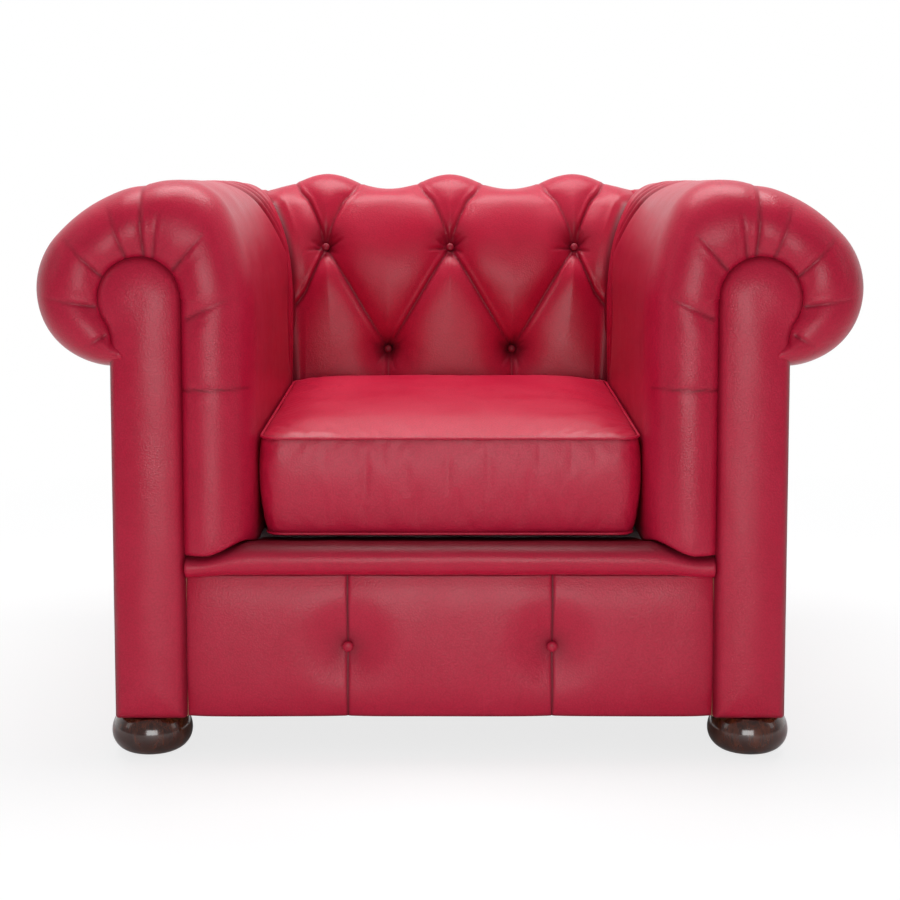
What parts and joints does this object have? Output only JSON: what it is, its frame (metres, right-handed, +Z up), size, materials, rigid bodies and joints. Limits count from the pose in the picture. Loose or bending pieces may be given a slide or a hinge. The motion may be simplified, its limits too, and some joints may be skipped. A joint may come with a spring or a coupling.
{
  "type": "chesterfield armchair",
  "caption": "Low chesterfield armchair in red leather: scroll arms with pleated fronts, a deep-buttoned back, a buttoned front panel, a loose seat cushion and dark bun feet.",
  "frame": {"origin": "on the floor under the middle of the chair's bounding box", "axes": "+X to the viewer's right seen from the front, the chair faces -Y, +Z up; -X is called left"},
  "size_m": [1.08, 0.9, 0.769],
  "materials": {
    "leather": "satin",
    "cushion_leather": "satin",
    "buttons": "satin",
    "feet": "gloss",
    "frame": "matte",
    "plywood": "matte",
    "card": "matte",
    "foam": "matte",
    "felt": "matte",
    "cloth": "matte",
    "steel": "satin",
    "glides": "satin",
    "zip": "satin"
  },
  "bodies": {
    "chair": {"arm_card_left": "card", "arm_card_right": "card", "arm_cover_left": "leather", "arm_cover_right": "leather", "arm_foam_left": "foam", "arm_foam_right": "foam", "arm_front_board_left": "frame", "arm_front_board_right": "frame", "arm_ribs_left": "frame", "arm_ribs_right": "frame", "arm_top_rail_left": "frame", "arm_top_rail_right": "frame", "back_buttons": "buttons", "back_card": "card", "back_cover": "leather", "back_foam": "foam", "back_ribs": "frame", "back_top_rail": "frame", "corner_block_left": "frame", "corner_block_right": "frame", "corner_post_left": "frame", "corner_post_right": "frame", "deck_cloth": "cloth", "deck_felt": "felt", "dust_cover": "cloth", "facing_board_left": "plywood", "facing_board_right": "plywood", "facing_cover_left": "leather", "facing_cover_right": "leather", "facing_foam_left": "foam", "facing_foam_right": "foam", "foot_bolts": "steel", "foot_front_left": "feet", "foot_front_right": "feet", "foot_glides": "glides", "foot_rear_left": "feet", "foot_rear_right": "feet", "front_panel_buttons": "buttons", "front_panel_cover": "leather", "front_panel_foam": "foam", "front_rail": "frame", "lip_cover": "leather", "lip_foam": "foam", "outside_arm_cover_left": "leather", "outside_arm_cover_right": "leather", "outside_back_cover": "leather", "rear_rail": "frame", "rear_spring_rail": "frame", "seat_side_rail_left": "frame", "seat_side_rail_right": "frame", "seat_springs": "steel", "side_rail_left": "frame", "side_rail_right": "frame", "spring_hessian": "felt", "tee_nuts": "steel"},
    "cushion": {"cushion_core": "foam", "cushion_cover": "cushion_leather", "zip_chain": "zip", "zip_tapes": "cloth"},
    "zip_slider": {"zip_slider": "zip"}
  },
  "joints": [
    {"name": "cushion_lift", "type": "slide", "parent": "chair", "child": "cushion", "axis": [0, 0, 1], "range_m": [0, 0.5]},
    {"name": "zip_slide", "type": "slide", "parent": "cushion", "child": "zip_slider", "axis": [1, 0, 0], "range_m": [0, 0.388]}
  ]
}
